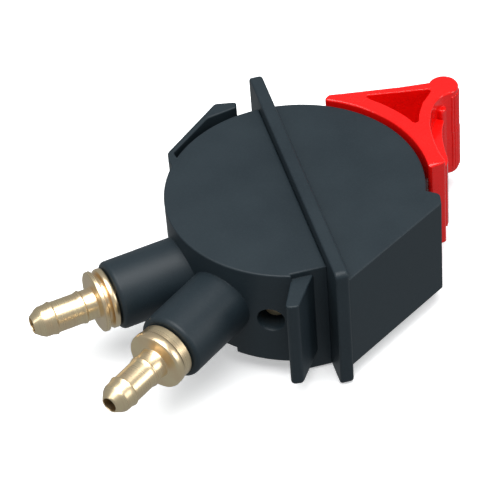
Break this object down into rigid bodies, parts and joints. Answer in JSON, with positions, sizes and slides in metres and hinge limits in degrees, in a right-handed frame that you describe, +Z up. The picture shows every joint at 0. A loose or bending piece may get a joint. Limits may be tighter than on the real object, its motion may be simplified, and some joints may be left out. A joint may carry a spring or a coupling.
{
  "type": "hose shut-off valve",
  "caption": "Snap-in panel valve: a round moulded drum with a cross flange, brass hose barbs behind it and a swinging finger lever in front.",
  "frame": {"origin": "middle of the flange's seating face, which is the middle of the panel opening", "axes": "+X from the panel towards the lever, +Y along the flange from the rigid hook to the snap arm, +Z up along the drum's axis"},
  "size_m": [0.102, 0.0745, 0.0306],
  "materials": {
    "charcoal_plastic": "satin moulded nylon",
    "red_plastic": "gloss moulded",
    "turned_brass": "bright turned",
    "white_acetal": "turned satin",
    "black_rubber": "moulded",
    "stainless": "bright"
  },
  "bodies": {
    "body": {"housing_rear": "charcoal_plastic", "housing_front": "charcoal_plastic", "thrust_washer_1": "stainless", "thrust_washer_2": "stainless", "port_seat_1": "black_rubber", "port_seat_2": "black_rubber", "hose_barb_1": "turned_brass", "hose_barb_2": "turned_brass", "barb_seal_1": "black_rubber", "barb_seal_2": "black_rubber", "friction_ball": "stainless", "friction_spring": "stainless", "friction_screw": "turned_brass", "closing_screw_1": "stainless", "closing_screw_2": "stainless"},
    "lever_and_rotor": {"lever": "red_plastic", "lever_pin": "stainless", "rotor": "white_acetal", "rotor_seal_1": "black_rubber", "rotor_seal_2": "black_rubber"},
    "arm": {"snap_arm": "charcoal_plastic"}
  },
  "joints": [
    {"name": "lever_swing", "type": "hinge", "parent": "body", "child": "lever_and_rotor", "pos_m": [0.00035, -0.00165, 0.0005], "axis": [0, 0, 1], "range_deg": [-8, 22]},
    {"name": "snap_arm_bend", "type": "hinge", "parent": "body", "child": "arm", "pos_m": [-0.02085, 0.01785, 0.0014], "axis": [0, 0, 1], "range_deg": [-6.5, 0], "stiffness_Nm_per_rad": 1.2}
  ]
}
